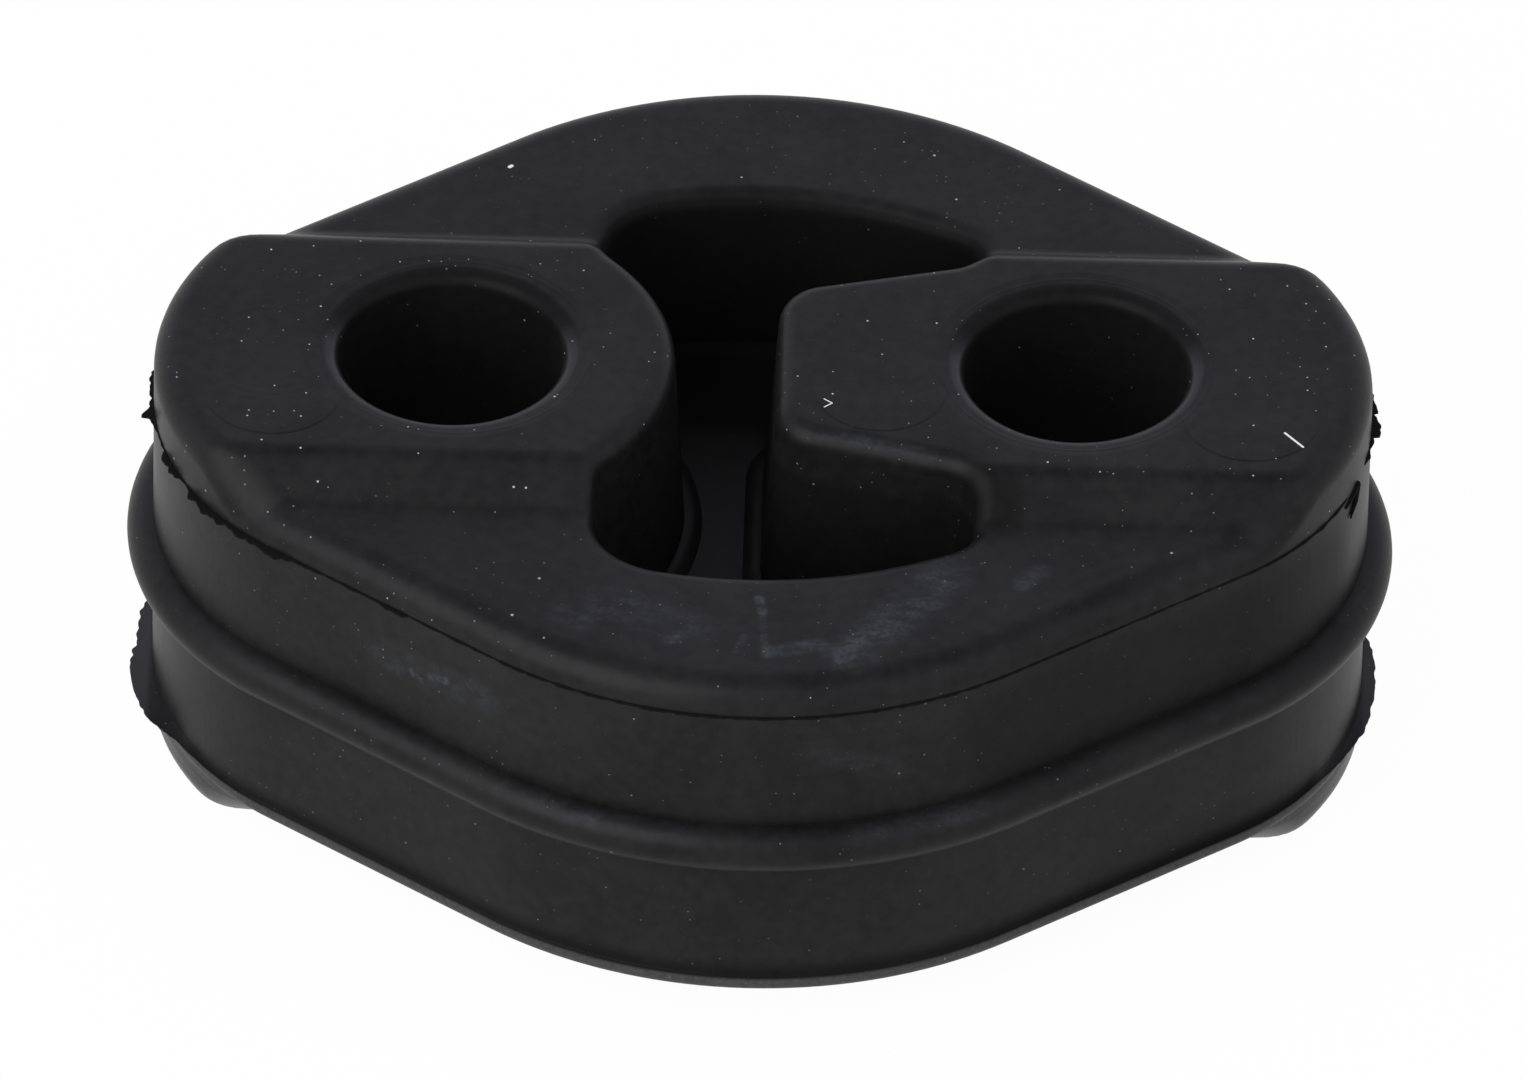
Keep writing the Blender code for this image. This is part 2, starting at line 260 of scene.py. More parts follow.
def row_places():
    """Distances from the bores' line at which planes cut the top, closer on the slopes."""
    places = [CREST_START]
    while places[-1] < FOOT_END:
        places.append(places[-1] + SLOPE_ROW)
    while places[-1] < HALF_DEPTH:
        places.append(places[-1] + FLAT_ROW)
    inner = [step * FLAT_ROW for step in range(math.ceil(CREST_START / FLAT_ROW))]
    return sorted({side * place for place in places + inner for side in (-1, 1)})


def rim_offset(mesh, vert):
    """How far the top's rim stands from its wall: back by the radius of the rounded edge."""
    if vert[mesh.wall] == OUTER:
        return -shoulder_radius(vert[mesh.home].y)
    if vert[mesh.wall] == OPENING:
        return -EDGE_RADIUS
    return BORE_RADIUS - SEAT_RADIUS - SEAT_MARGIN


def top_surface(mesh):
    """Fill the top between the outlines, cut it into rows and lift it to its height."""
    bm = mesh.bm
    outline(mesh, OUTER, outer_corners())
    outline(mesh, OPENING, opening_corners())
    for side in (-1, 1):
        centre = Vector((side * BORE_X, 0.0, 0.0))
        circle = bmesh.ops.create_circle(
            bm, radius=BORE_RADIUS, segments=BORE_FACETS, matrix=Matrix.Translation(centre)
        )
        mesh.settle(circle["verts"], BORE, centre, -1)
    for vert in bm.verts:
        mesh.place(vert, rim_offset(mesh, vert), 0.0)
    bmesh.ops.triangle_fill(bm, edges=bm.edges[:], use_beauty=True, normal=(0, 0, 1))
    for y in row_places():
        geometry = bm.verts[:] + bm.edges[:] + bm.faces[:]
        bmesh.ops.bisect_plane(bm, geom=geometry, dist=MM * 1e-3, plane_co=(0, y, 0), plane_no=(0, 1, 0))
    bmesh.ops.triangulate(bm, faces=bm.faces[:])
    for vert in bm.verts:
        vert.co.z = top_height(vert.co.y)


# %% [markdown]
# ## Walls
# Each wall hangs from the rim of the top. Its rings are extruded one after another and moved
# to the offset and height that the wall's profile gives: a rounded edge, the wall, and then
# the half-round rib outside or the half-round bead inside. That is how a moulder's drawing
# reads too, as one profile carried round an outline.

# %% Profiles of the walls
EDGE_RINGS = 8


def quarter(rings):
    """Shares of a radius, from the top of a rounded edge to its wall: distance in, and drop."""
    angles = [math.pi / 2 * ring / rings for ring in range(1, rings + 1)]
    return [(1 - math.sin(angle), 1 - math.cos(angle)) for angle in angles]


def outer_profile():
    """Rings of the outer wall from the rim down: functions of a place on the wall and the way out."""
    rings = []
    for inset, drop in quarter(EDGE_RINGS):
        def edge(home, out, inset=inset, drop=drop):
            radius = shoulder_radius(home.y)
            return -radius * inset, top_height(home.y - out.y * radius * inset) - radius * drop
        rings.append(edge)
    for ring in range(EDGE_RINGS + 1):
        angle = math.pi / 2 * (1 - ring / EDGE_RINGS)
        spot = (RIB_RADIUS * math.cos(angle), RIB_RADIUS * math.sin(angle))
        rings.append(lambda home, out, spot=spot: spot)
    return rings


def opening_profile():
    """Rings of the opening's wall, down to the bead's edge on the web."""
    rings = []
    for inset, drop in quarter(EDGE_RINGS):
        def edge(home, out, inset=inset, drop=drop):
            height = top_height(home.y - out.y * EDGE_RADIUS * inset) - EDGE_RADIUS * drop
            return -EDGE_RADIUS * inset, height
        rings.append(edge)
    lift = math.asin(WEB_HALF / BEAD_RADIUS)
    for ring in range(EDGE_RINGS + 1):
        angle = math.pi / 2 + (lift - math.pi / 2) * ring / EDGE_RINGS
        spot = (DRAFT + BEAD_RADIUS * math.cos(angle), BEAD_RADIUS * math.sin(angle))
        rings.append(lambda home, out, spot=spot: spot)
    return rings


def bore_profile():
    """Rings of a bore: the shallow seat's edge, the rounded lip and the bore to the middle plane."""
    rings = []
    for inset in (SEAT_MARGIN / 2, 0.0):
        def seat_edge(home, out, offset=BORE_RADIUS - SEAT_RADIUS - inset):
            return offset, top_height(home.y + out.y * offset)
        rings.append(seat_edge)
    seat = BOSS_HEIGHT - SEAT_DEPTH
    spots = [(-LIP_RADIUS, seat)]
    spots += [(-LIP_RADIUS * inset, seat - LIP_RADIUS * drop) for inset, drop in quarter(EDGE_RINGS)]
    spots.append((0.0, 0.0))
    return rings + [lambda home, out, spot=spot: spot for spot in spots]


# %% Hang the walls from the top
def next_ring(mesh, edges, ring):
    """Extrude a ring of edges and move it to where ring puts each wall place."""
    made = bmesh.ops.extrude_edge_only(mesh.bm, edges=edges)["geom"]
    verts = {item for item in made if isinstance(item, bmesh.types.BMVert)}
    for vert in verts:
        mesh.place(vert, *ring(vert[mesh.home], vert[mesh.out]))
    return [
        item for item in made
        if isinstance(item, bmesh.types.BMEdge) and all(vert in verts for vert in item.verts)
    ]


def hang_wall(mesh, wall, profile):
    """Extrude a wall's rings down from the rim of the top. Returns the edges of the last ring."""
    bm = mesh.bm
    edges = [
        edge for edge in bm.edges
        if edge.is_boundary and all(round(vert[mesh.wall]) == wall for vert in edge.verts)
    ]
    for ring in profile:
        edges = next_ring(mesh, edges, ring)
    return edges


def link_piece(name, bm, material=None):
    """Make an object of a finished bmesh, at the origin, riding on the block's only body."""
    mesh = bpy.data.meshes.new(name)
    bm.to_mesh(mesh)
    bm.free()
    mesh.shade_smooth()
    piece = bpy.data.objects.new(name, mesh)
    bpy.context.scene.collection.objects.link(piece)
    if material:
        mesh.materials.append(material)
    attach(piece, "root")
    return piece


# %% The rubber block
CREASE_ANGLE = math.radians(50.0)


def rubber_block():
    """The upper half, mirrored and merged into one closed block that stands on the floor."""
    mesh = WallMesh()
    bm = mesh.bm
    top_surface(mesh)
    hang_wall(mesh, OUTER, outer_profile())
    hang_wall(mesh, BORE, bore_profile())
    web_edges = hang_wall(mesh, OPENING, opening_profile())
    bmesh.ops.triangle_fill(bm, edges=web_edges, use_beauty=True, normal=(0, 0, 1))
    geometry = bm.verts[:] + bm.edges[:] + bm.faces[:]
    bmesh.ops.mirror(bm, geom=geometry, matrix=Matrix.Identity(4), merge_dist=MM * 1e-3, axis="Z")
    bmesh.ops.remove_doubles(bm, verts=bm.verts[:], dist=MM * 1e-4)
    bmesh.ops.recalc_face_normals(bm, faces=bm.faces[:])
    bmesh.ops.translate(bm, verts=bm.verts[:], vec=(0, 0, BOSS_HEIGHT))
    print("open edges:", sum(not edge.is_manifold for edge in bm.edges), "faces:", len(bm.faces))
    piece = link_piece("rubber_block", bm)
    piece.data.set_sharp_from_angle(angle=CREASE_ANGLE)
    weighted = piece.modifiers.new("even_shading", "WEIGHTED_NORMAL")
    weighted.keep_sharp = True
    return piece


block = rubber_block()
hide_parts("hanger_body")
print("triangles:", sum(len(face.vertices) - 2 for face in block.data.polygons))

# %% [markdown]
# ## Torn flash
# The mould closes along the outer shoulders, and a thin film of rubber creeps into each joint.
# The worker tears it off and a ragged fin is left. Each fin is a narrow band round the
# outline. How far it stands out is read from a table of angles round the block, and noise
# makes the tear uneven. Where its table gives nothing, the upper fin stays inside the
# rubber. The lower one keeps a small rolled lip all the way round.

# %% How far the flash stands out
TEAR_CUTS = 4
FLASH_HEIGHT = RING_HEIGHT - RING_SHOULDER
LOWER_DEPTH = FLASH_HEIGHT + 0.2 * MM
LOWER_LIP = 0.1 * MM
HIDDEN = 0.1 * MM
FILM = 0.07 * MM
MOST_REACH = 1.1
UPPER_RAGGED = 0.55
LOWER_RAGGED = 0.12
# Lumps of noise to the millimetre, for the fine and the coarse tears.
FINE_TEARS = 2.3
COARSE_TEARS = 0.9
# Pairs of an angle round the block in degrees, from the right end, and a reach in mm.
UPPER_REACH = [
    (0.0, 0.42), (1.4, 0.45), (1.8, 0.12), (2.2, 0.3), (5.2, 0.27), (5.6, 0.0), (176.6, 0.0), (177.0, 0.45),
    (177.6, 0.28), (182.0, 0.22), (183.2, 0.45), (184.0, 0.25), (186.0, 0.06), (189.0, 0.08), (189.8, 0.3),
    (192.4, 0.28), (193.2, 0.1), (195.0, 0.12), (195.8, 0.32), (200.4, 0.34), (201.0, 0.16), (202.2, 0.32),
    (207.6, 0.36), (209.6, 0.12), (215.0, 0.05), (216.0, 0.06), (219.4, 0.06), (220.0, 0.13), (224.2, 0.2),
    (225.0, 0.0), (226.0, 0.06), (240.0, 0.08), (256.0, 0.09), (262.0, 0.13), (270.0, 0.09), (300.0, 0.06),
    (330.0, 0.04), (337.0, 0.07),
    (343.0, 0.08), (343.6, 0.17), (344.2, 0.07), (348.0, 0.06), (349.0, 0.0), (354.0, 0.0), (355.5, 0.14),
    (358.0, 0.16), (358.4, 0.1), (358.8, 0.46), (360.0, 0.42),
]
LOWER_REACH = [
    (0.0, 0.62), (5.8, 0.68), (8.0, 0.4), (11.0, 0.0), (166.0, 0.0), (168.0, 0.7), (173.6, 0.93),
    (176.2, 0.87), (179.6, 0.75), (180.2, 1.0), (182.9, 1.1), (185.2, 1.12), (188.6, 1.0), (189.2, 0.9),
    (190.2, 0.85),
    (191.6, 0.6), (193.5, 0.28), (197.0, 0.1), (206.0, 0.03), (330.0, 0.03), (344.0, 0.06), (349.0, 0.3),
    (353.0, 0.55), (360.0, 0.62),
]


def reading(table, angle):
    """Read a table of (angle, value) with straight lines between its places."""
    for (low_angle, low_value), (high_angle, high_value) in zip(table, table[1:]):
        if low_angle <= angle <= high_angle:
            return low_value + (high_value - low_value) * (angle - low_angle) / (high_angle - low_angle)
    return 0.0


def reach(table, home, ragged):
    """Metres that the torn edge stands out from the wall at a place of the outline."""
    angle = math.degrees(math.atan2(home.y, home.x)) % 360
    fine = noise.noise(home * (FINE_TEARS / MM))
    coarse = noise.noise(home * (COARSE_TEARS / MM) + Vector((7.0, 3.0, 1.0)))
    value = reading(table, angle)
    if value <= 0.0:
        return -HIDDEN
    out = value * (1.0 + ragged * (fine + coarse)) + 0.04 * ragged * fine
    return min(max(out, -0.05), MOST_REACH) * MM


# %% Profiles of the flash
def upper_flash_profile():
    """A thin film that droops from the upper parting line."""
    def spot(out_share, drop_share, rise):
        def ring(home, out):
            length = reach(UPPER_REACH, home, UPPER_RAGGED)
            return length * out_share - HIDDEN * (1 - out_share), FLASH_HEIGHT + rise - length * drop_share
        return ring
    return [spot(0.0, 0.0, 0.05 * MM), spot(0.5, 0.05, 0.04 * MM), spot(1.0, 0.25, 0.02 * MM),
            spot(1.0, 0.35, -FILM), spot(0.4, 0.1, -FILM), spot(0.0, 0.0, -FILM)]


def lower_flash_profile():
    """A small hollow, the film at the lower parting line, and a rolled lip under it."""
    hollow = [(-0.05, 0.4), (0.0, 0.28), (0.02, 0.16), (0.05, 0.06)]
    rings = [lambda home, out, spot=spot: (spot[0] * MM, spot[1] * MM - LOWER_DEPTH) for spot in hollow]
    for share, drop in ((0.5, 0.0), (1.0, 0.01), (1.0, 0.08), (0.5, 0.11)):
        def film(home, out, share=share, drop=drop):
            length = max(reach(LOWER_REACH, home, LOWER_RAGGED), 0.0)
            return LOWER_LIP + length * share, -LOWER_DEPTH - drop * MM
        rings.append(film)
    roll = [(0.09, -0.2), (0.14, -0.34), (0.14, -0.52), (0.08, -0.72), (-0.06, -0.88), (-0.4, -0.97)]
    rings += [lambda home, out, spot=spot: (spot[0] * MM, spot[1] * MM - LOWER_DEPTH) for spot in roll]
    return rings


# %% The torn flash
FLASH_CREASE = math.radians(35.0)


def flash(name, profile, material):
    """Carry a closed profile round the outer outline."""
    mesh = WallMesh()
    bm = mesh.bm
    outline(mesh, OUTER, outer_corners())
    bmesh.ops.bisect_edges(bm, edges=bm.edges[:], cuts=TEAR_CUTS)
    for vert in bm.verts:
        mesh.place(vert, *profile[0](vert[mesh.home], vert[mesh.out]))
    first = bm.edges[:]
    last = first
    for ring in profile[1:]:
        last = next_ring(mesh, last, ring)
    bmesh.ops.bridge_loops(bm, edges=first + last)
    bmesh.ops.recalc_face_normals(bm, faces=bm.faces[:])
    bmesh.ops.translate(bm, verts=bm.verts[:], vec=(0, 0, BOSS_HEIGHT))
    print(name, "open edges:", sum(not edge.is_manifold for edge in bm.edges), "faces:", len(bm.faces))
    piece = link_piece(name, bm, material)
    piece.data.set_sharp_from_angle(angle=FLASH_CREASE)
    return piece


# %% The torn curl
# Places along the shred in mm, each with its radius there in mm.
CURL = [
    ((29.95, -6.1, 19.9), 0.06),
    ((30.2, -5.45, 20.1), 0.15),
    ((30.5, -4.6, 20.3), 0.2),
    ((30.42, -5.0, 19.5), 0.15),
    ((30.22, -5.55, 18.8), 0.04),
]
CURL_FACETS = 10


def torn_curl(material):
    """A rolled shred of film that hangs on the right end: rings along its path, bridged."""
    bm = bmesh.new()
    places = [Vector(place) * MM for place, _ in CURL]
    last = None
    for index, (_, radius) in enumerate(CURL):
        ahead = places[min(index + 1, len(places) - 1)] - places[max(index - 1, 0)]
        turn = ahead.to_track_quat("Z", "Y").to_matrix().to_4x4()
        ring = bmesh.ops.create_circle(
            bm,
            radius=radius * MM,
            segments=CURL_FACETS,
            matrix=Matrix.Translation(places[index]) @ turn,
            cap_ends=index in (0, len(CURL) - 1),
        )
        edges = list({edge for vert in ring["verts"] for edge in vert.link_edges})
        if last:
            bmesh.ops.bridge_loops(bm, edges=last + edges)
        last = edges
    bmesh.ops.recalc_face_normals(bm, faces=bm.faces[:])
    print("curl open edges:", sum(not edge.is_manifold for edge in bm.edges))
    return link_piece("torn_curl", bm, material)


# %% [markdown]
# ## Shader maths
# A finish is worked out for each point of the surface. This small class wraps a socket of a
# shader node, so that plain arithmetic on values adds the Math nodes, and one method adds
# every other kind of node.

# %% Values and finishes
class Value:
    """A number or vector that a node gives, with Python's operators."""

    def __init__(self, finish, socket):
        self.finish = finish
        self.socket = socket

    def maths(self, operation, *numbers):
        return self.finish.node("ShaderNodeMath", {"operation": operation}, dict(enumerate(numbers)))

    def __add__(self, other):
        return self.maths("ADD", self, other)

    def __sub__(self, other):
        return self.maths("SUBTRACT", self, other)

    def __rsub__(self, other):
        return self.maths("SUBTRACT", other, self)

    def __mul__(self, other):
        return self.maths("MULTIPLY", self, other)

    def __truediv__(self, other):
        return self.maths("DIVIDE", self, other)

    def __gt__(self, other):
        return self.maths("GREATER_THAN", self, other)

    def __lt__(self, other):
        return self.maths("LESS_THAN", self, other)

    def __abs__(self):
        return self.maths("ABSOLUTE", self)

    __radd__ = __add__
    __rmul__ = __mul__


class Finish:
    """A material being made. node() adds any node and gives one of its outputs as a Value."""

    def __init__(self, name):
        self.material = bpy.data.materials.new(name)
        self.material.use_nodes = True
        self.tree = self.material.node_tree
        self.shader = self.tree.nodes["Principled BSDF"]

    def feed(self, socket, value):
        if isinstance(value, Value):
            self.tree.links.new(value.socket, socket)
        else:
            socket.default_value = value

    def node(self, kind, settings=(), values=(), output=0):
        made = self.tree.nodes.new(kind)
        for name, setting in dict(settings).items():
            setattr(made, name, setting)
        for name, value in dict(values).items():
            self.feed(made.inputs[name], value)
        return Value(self, made.outputs[output])

    def ramp(self, value, low, high, start=0.0, end=1.0):
        """Smooth step of a value from start to end, between low and high."""
        return self.node(
            "ShaderNodeMapRange",
            {"interpolation_type": "SMOOTHSTEP"},
            {"Value": value, "From Min": low, "From Max": high, "To Min": start, "To Max": end},
        )

    def mix(self, share, first, second):
        """Colour between two colours."""
        return self.node(
            "ShaderNodeMix", {"data_type": "RGBA"}, {0: share, 6: first, 7: second}, output=2
        )

    def noise(self, place, size, detail=2.0):
        """Noise whose lumps are about size millimetres across. place is in millimetres."""
        return self.node(
            "ShaderNodeTexNoise", {}, {"Vector": place, "Scale": 1.0 / size, "Detail": detail}, "Fac"
        )

    def light_path(self):
        """Whether a ray comes from the camera, from a reflection or through glass."""
        seen = self.node("ShaderNodeLightPath", output="Is Camera Ray")
        outputs = seen.socket.node.outputs
        return seen, Value(self, outputs["Is Glossy Ray"]), Value(self, outputs["Is Transmission Ray"])

    def whole(self):
        """The main shader as a Value."""
        return Value(self, self.shader.outputs[0])

    def show(self, value):
        """Make a shader value the material's surface."""
        output = next(node for node in self.tree.nodes if node.type == "OUTPUT_MATERIAL")
        self.feed(output.inputs["Surface"], value)

    def shader_values(self, **values):
        for name, value in values.items():
            self.feed(self.shader.inputs[name.replace("_", " ")], value)


# %% [markdown]
# ## Rubber
# The block is black rubber, moulded in machined steel. Carbon makes it nearly black, so most
# of what is seen is a soft reflection of the white surroundings. On top of that lie a fine
# grain, chalky rub marks with painted highlights among them, white dust, and faint circles
# where pins and cutters marked the mould. Painted shade, a dark dull shader, lies on some
# places. A clear coat paints highlights on the bores' front lips and the underside, and the
# lip under the lower joint is painted paler as painted light. Positions are in millimetres
# on Object coordinates, so nothing slides.

# %% Places on the block
class Rubber(Finish):
    """The rubber finish, with coordinates in millimetres."""

    def __init__(self, name):
        super().__init__(name)
        place = self.node("ShaderNodeTexCoord", output="Object")
        self.place = self.vector("SCALE", place, Scale=1000.0)
        self.x, self.y, self.z = (
            self.node("ShaderNodeSeparateXYZ", {}, {0: self.place}, axis) for axis in "XYZ"
        )

    def vector(self, operation, first, second=None, output="Vector", **values):
        given = {0: first}
        if second is not None:
            given[1] = second
        given.update(values)
        return self.node("ShaderNodeVectorMath", {"operation": operation}, given, output)

    def from_line(self, start, end):
        """Distance in mm from a straight stretch between two places."""
        run = Vector(end) - Vector(start)
        offset = self.vector("SUBTRACT", self.place, start)
        share = self.vector("DOT_PRODUCT", offset, tuple(run / run.length_squared), output="Value")
        share = self.node("ShaderNodeClamp", {}, {"Value": share})
        along = self.vector("SCALE", tuple(run), Scale=share)
        return self.vector("DISTANCE", offset, along, output="Value")

    def mark(self, start, end, width):
        """1 on a short thin mark, and 0 away from it."""
        return self.ramp(self.from_line(start, end), width * 0.3, width * 0.6, 1.0, 0.0)

    def in_plan(self, x, y):
        """Distance in mm from an upright axis."""
        across = self.x - x
        along = self.y - y
        squared = across * across + along * along
        return squared.maths("SQRT", squared)


# %% Dust
def dust(rubber, cell, radius, share):
    """Round specks up to radius mm, one in some cells of cell mm."""
    kinds = {"Vector": rubber.place, "Scale": 1.0 / cell, "Randomness": 1.0}
    near = rubber.node("ShaderNodeTexVoronoi", {}, kinds, "Distance")
    tint = Value(rubber, near.socket.node.outputs["Color"])
    red, green, blue = (rubber.node("ShaderNodeSeparateColor", {}, {0: tint}, band) for band in range(3))
    size = (green * 0.7 + 0.3) * radius
    shape = rubber.ramp(near * cell / size, 0.5, 1.0, 1.0, 0.0)
    return shape * (red < share) * (blue * blue * 0.9 + 0.1)


# %% Marks on the block
TOP = 2 * BOSS_HEIGHT / MM
RING_TOP = (BOSS_HEIGHT + RING_HEIGHT) / MM
MIDDLE = BOSS_HEIGHT / MM
# Start, end, width in mm and strength of each rub mark, and of the painted highlights among them.
RUBS_AND_HIGHLIGHTS = [
    ((4.9, -21.7, RING_TOP), (9.6, -15.3, RING_TOP), 1.8, 0.6),
    ((4.5, -21.9, RING_TOP), (5.4, -20.6, RING_TOP), 0.6, 0.6),
    ((0.9, -21.6, RING_TOP), (3.3, -20.9, RING_TOP), 0.7, 0.7),
    ((0.2, -17.4, RING_TOP), (0.4, -18.4, RING_TOP), 0.4, 0.8),
    ((0.4, -18.4, RING_TOP), (0.6, -21.9, RING_TOP), 0.3, 0.35),
    ((-0.9, -21.6, RING_TOP), (-0.5, -20.4, RING_TOP), 0.3, 0.6),
    ((-4.3, -20.9, RING_TOP), (-3.9, -20.8, RING_TOP), 0.45, 0.9),
    ((-9.8, -19.0, RING_TOP), (-8.8, -19.6, RING_TOP), 1.0, 0.4),
    ((-7.5, -18.0, RING_TOP), (-3.5, -19.8, RING_TOP), 1.9, 0.32),
    ((13.5, -15.6, RING_TOP), (14.4, -14.6, RING_TOP), 0.8, 0.5),
    ((-18.9, -16.7, 17.0), (-13.6, -20.3, 17.4), 1.4, 0.3),
    ((-17.4, -17.7, 16.9), (-16.9, -17.95, 16.6), 0.3, 1.0),
    ((-16.4, -18.3, 17.2), (-15.6, -18.8, 17.4), 0.35, 0.9),
    ((3.4, -24.5, 18.2), (7.5, -23.5, 16.2), 1.0, 0.2),
    # A painted highlight along the nose's edge, made uneven.
    ((3.0, -5.95, 23.8), (8.8, -7.45, 23.8), 0.45, 0.3),
    # Painted highlights: streaks along the top of the rib.
    ((5.7, -25.0, 13.1), (12.0, -22.5, 13.1), 0.8, 0.25),
    ((-12.5, -22.2, 13.1), (-8.0, -24.3, 13.1), 0.8, 0.18),
    ((-8.0, -24.3, 13.1), (-3.1, -25.5, 13.1), 0.8, 0.18),
]
# Start, end and width in mm of each short white mark.
WHITE_MARKS = [
    ((26.71, -5.16, TOP), (27.64, -6.25, TOP), 0.13),
    ((3.16, -3.45, TOP), (3.58, -3.77, TOP), 0.07),
    ((3.58, -3.77, TOP), (3.18, -4.1, TOP), 0.07),
    ((-13.5, 17.1, RING_TOP), (-13.4, 17.2, RING_TOP), 0.22),
]
JOINT = (BOSS_HEIGHT - LOWER_DEPTH) / MM
BORE_PLACES = (-BORE_X / MM, BORE_X / MM)
# A line along the right of the upper wall, round which shade is painted.
PAINTED_SHADE_RIGHT = ((14.0, -21.0, 16.5), (29.0, -9.0, 16.5))
# Places seen from above: the middle and the radius of each circle that a pin left.
PIN_CIRCLES = [(-25.0, -4.0, 3.5), (6.0, -2.5, 3.4), (25.0, -4.0, 3.5)]
PIN_STEP = 0.035
SEAT_CIRCLES = (-15.8, 16.0)
SEAT_EDGE = 6.95
SEAT_RIDGE = 0.008
LIP_EDGE = 6.1
PIT_DEPTH = 0.06
MILL_CENTRE = (-25.2, -0.7)
MILL_WAVE = 0.55
MILL_HEIGHT = 0.0015
GRAIN_HEIGHT = 0.006


def total(values):
    """Sum of a list of values."""
    result = values[0]
    for value in values[1:]:
        result = result + value
    return result


def rubs_and_highlights(rubber, grain):
    """Cloudy rub marks and painted highlights, broken up into strokes by noise and into grains by the
    rubber's grain.
    """
    turned = {"Vector": rubber.place, "Rotation": (0.0, 0.0, 0.6), "Scale": (0.7, 1.6, 1.0)}
    strokes = rubber.node("ShaderNodeMapping", {}, turned)
    torn = rubber.ramp(rubber.noise(strokes, 0.9, 4.0), 0.35, 0.7, 0.25, 1.1)
    patches = [
        rubber.ramp(rubber.from_line(start, end), width * 0.3, width, strength, 0.0)
        for start, end, width, strength in RUBS_AND_HIGHLIGHTS
    ]
    return total(patches) * torn * rubber.ramp(grain, 0.35, 0.65, 0.6, 1.5)


def mould_marks(rubber):
    """Heights in mm of the marks that the mould's pins and cutters left on the tops."""
    on_top = rubber.z > TOP - 0.1
    pins = [
        rubber.ramp(rubber.in_plan(x, y), size - 0.1, size + 0.1, 1.0, 0.0)
        * rubber.ramp(rubber.y, y - 1.5, y + 0.5, 1.0, 0.0)
        for x, y, size in PIN_CIRCLES
    ]
    seats = [rubber.ramp(abs(rubber.in_plan(x, 0.0) - SEAT_EDGE), 0.0, 0.14, 1.0, 0.0) for x in SEAT_CIRCLES]
    pit = rubber.ramp(rubber.in_plan(-8.2, 3.4), 0.05, 0.16, 1.0, 0.0)
    turned = rubber.in_plan(*MILL_CENTRE)
    waves = turned.maths("SINE", turned * (math.tau / MILL_WAVE)) * rubber.ramp(turned, 1.5, 4.0, 0.0, 1.0)
    waves = waves * rubber.ramp(turned, 3.6, 4.4, 1.0, 0.0)
    heights = total(pins) * PIN_STEP + total(seats) * SEAT_RIDGE - pit * PIT_DEPTH + waves * MILL_HEIGHT
    return heights * on_top


# %% [markdown]
# ## Painted shade
# Some places on the block are painted darker and duller than the rest, as painted shade.
# Each place is a mask: a smooth ramp on a coordinate, or on a distance from a place, in
# millimetres. Ramps multiplied with each other keep a mask where it belongs, and the sum of
# all masks mixes a dark, dull shader into the rubber.

# %% Where the shade is painted
# Over these distances behind the bores' line, the lips go from their front to their back.
LIP_FADE = (0.0, 3.0)


def painted_joint_shade(rubber):
    """Painted shade: a dull band just above the lower joint, wider on the right and gone at the two ends."""
    wide = rubber.ramp(rubber.z, JOINT + 0.4, JOINT + 2.8, 1.0, 0.0)
    band = rubber.ramp(rubber.x, 8.0, 22.0, 0.0, 0.4) * wide
    band = band + rubber.ramp(rubber.z, JOINT, JOINT + 1.2, 1.0, 0.0)
    joint = rubber.ramp(rubber.z, JOINT - 0.15, JOINT, 0.0, 0.68) * band
    return joint * rubber.ramp(abs(rubber.x), 28.6, 29.4, 1.0, 0.0)


def painted_nose_shade(rubber):
    """Painted shade on the walls of the nose, without its bore and its upper and lower edges."""
    nose = rubber.ramp(rubber.x, -0.5, 0.5, 0.0, 0.6) * rubber.ramp(rubber.x, 11.1, 11.6, 1.0, 0.0)
    nose = nose * rubber.ramp(abs(rubber.y), 10.0, 14.0, 1.0, 0.0)
    nose = nose * rubber.ramp(rubber.in_plan(BORE_PLACES[1], 0.0), 5.9, 6.4)
    return nose * rubber.ramp(abs(rubber.z - MIDDLE), 8.6, 9.6, 1.0, 0.0)


def painted_back_rim_shade(rubber):
    """Painted shade on the rounded edge at the back of the opening, in place of its highlight."""
    rim = rubber.ramp(rubber.z, RING_TOP - 0.4, RING_TOP - 0.08, 0.75, 0.0)
    rim = rim * rubber.ramp(rubber.y, 7.0, 9.0) * rubber.ramp(rubber.y, 17.0, 17.5, 1.0, 0.0)
    return rim * rubber.ramp(abs(rubber.x), 12.0, 12.5, 1.0, 0.0)


def at_lips(rubber, near, far, share):
    """share on the rounded lips of the bores. It fades between near and far mm from them."""
    return total([
        rubber.ramp(abs(rubber.in_plan(x, 0.0) - LIP_EDGE), near, far, share, 0.0) for x in BORE_PLACES
    ])


